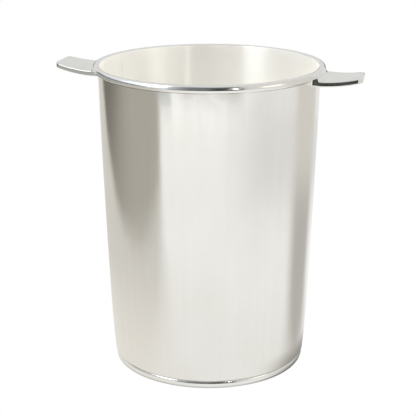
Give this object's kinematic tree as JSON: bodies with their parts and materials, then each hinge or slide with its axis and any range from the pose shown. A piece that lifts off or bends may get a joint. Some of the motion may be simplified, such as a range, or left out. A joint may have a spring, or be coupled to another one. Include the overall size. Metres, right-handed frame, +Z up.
{
  "type": "champagne bucket",
  "caption": "Tall tapered silver-plated champagne bucket with a rounded rim bead, a moulded foot ring and flat tab handles soldered on opposite sides just under the rim.",
  "frame": {"origin": "centre of the circle the foot ring stands on, which is the bottom centre of the bounding box", "axes": "+Z up along the bucket's own axis, out of the mouth; the two tab handles lie along +X and -X; the bucket is symmetrical about the XZ and YZ planes"},
  "size_m": [0.2312, 0.1726, 0.23],
  "materials": {
    "silver_satin": "satin",
    "silver_bright": "polished",
    "silver_handle": "gloss"
  },
  "bodies": {
    "root": {"body_wall": "silver_satin", "base_plate": "silver_satin", "foot_ring": "silver_bright", "rim_collar": "silver_bright", "rim_bead": "silver_bright", "handle_left": "silver_handle", "handle_right": "silver_handle"}
  },
  "joints": []
}
